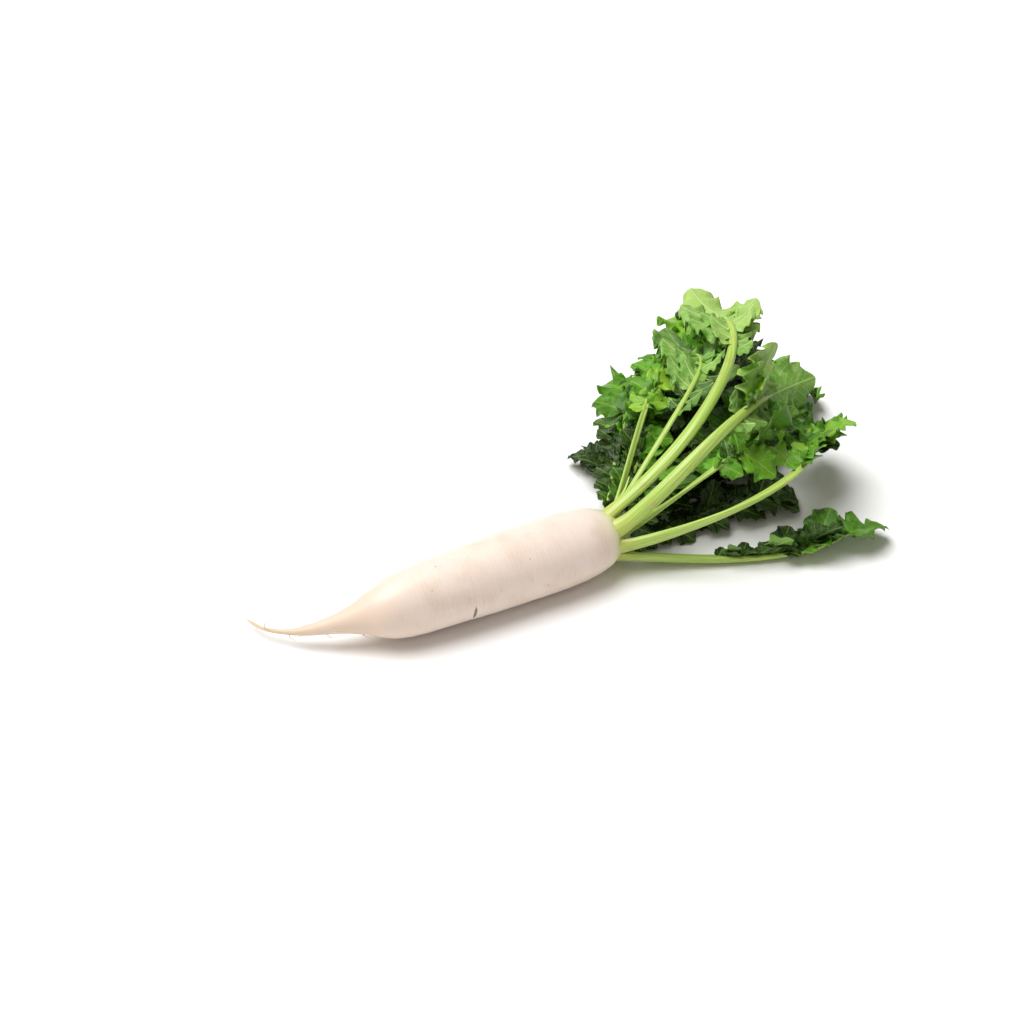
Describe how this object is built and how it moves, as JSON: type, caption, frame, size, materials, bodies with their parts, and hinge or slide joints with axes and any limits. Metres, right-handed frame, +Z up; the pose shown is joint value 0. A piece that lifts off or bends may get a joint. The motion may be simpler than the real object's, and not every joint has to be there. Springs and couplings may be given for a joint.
{
  "type": "daikon radish",
  "caption": "Daikon radish lying on its side: a thick white root with a blunt green crown, a short curved tail and a full bunch of arching, deeply cut leaves.",
  "frame": {"origin": "the middle of the small flat spot under the thickest part of the root, on the surface that the radish lies on", "axes": "+X along the root from the tail to the leaves, +Z up, +Y to the left of that, which is the side that the tail bends to and most leaves lean to"},
  "size_m": [0.7154, 0.4331, 0.1739],
  "materials": {
    "root_skin": "satin",
    "leaf": "satin",
    "leaf_stalk": "satin"
  },
  "bodies": {
    "root": {"taproot": "root_skin", "leaf_top_arch": "leaf", "leaf_top_right": "leaf", "leaf_right": "leaf", "leaf_low_right": "leaf", "leaf_right_slim": "leaf", "leaf_inner_left": "leaf", "leaf_left_slim": "leaf", "leaf_left": "leaf", "leaf_inner_right": "leaf", "leaf_back_left": "leaf", "leaf_back": "leaf", "leaf_back_right": "leaf", "leaf_low_left": "leaf", "leaf_low_middle": "leaf", "stalk_stub": "leaf_stalk"}
  },
  "joints": []
}
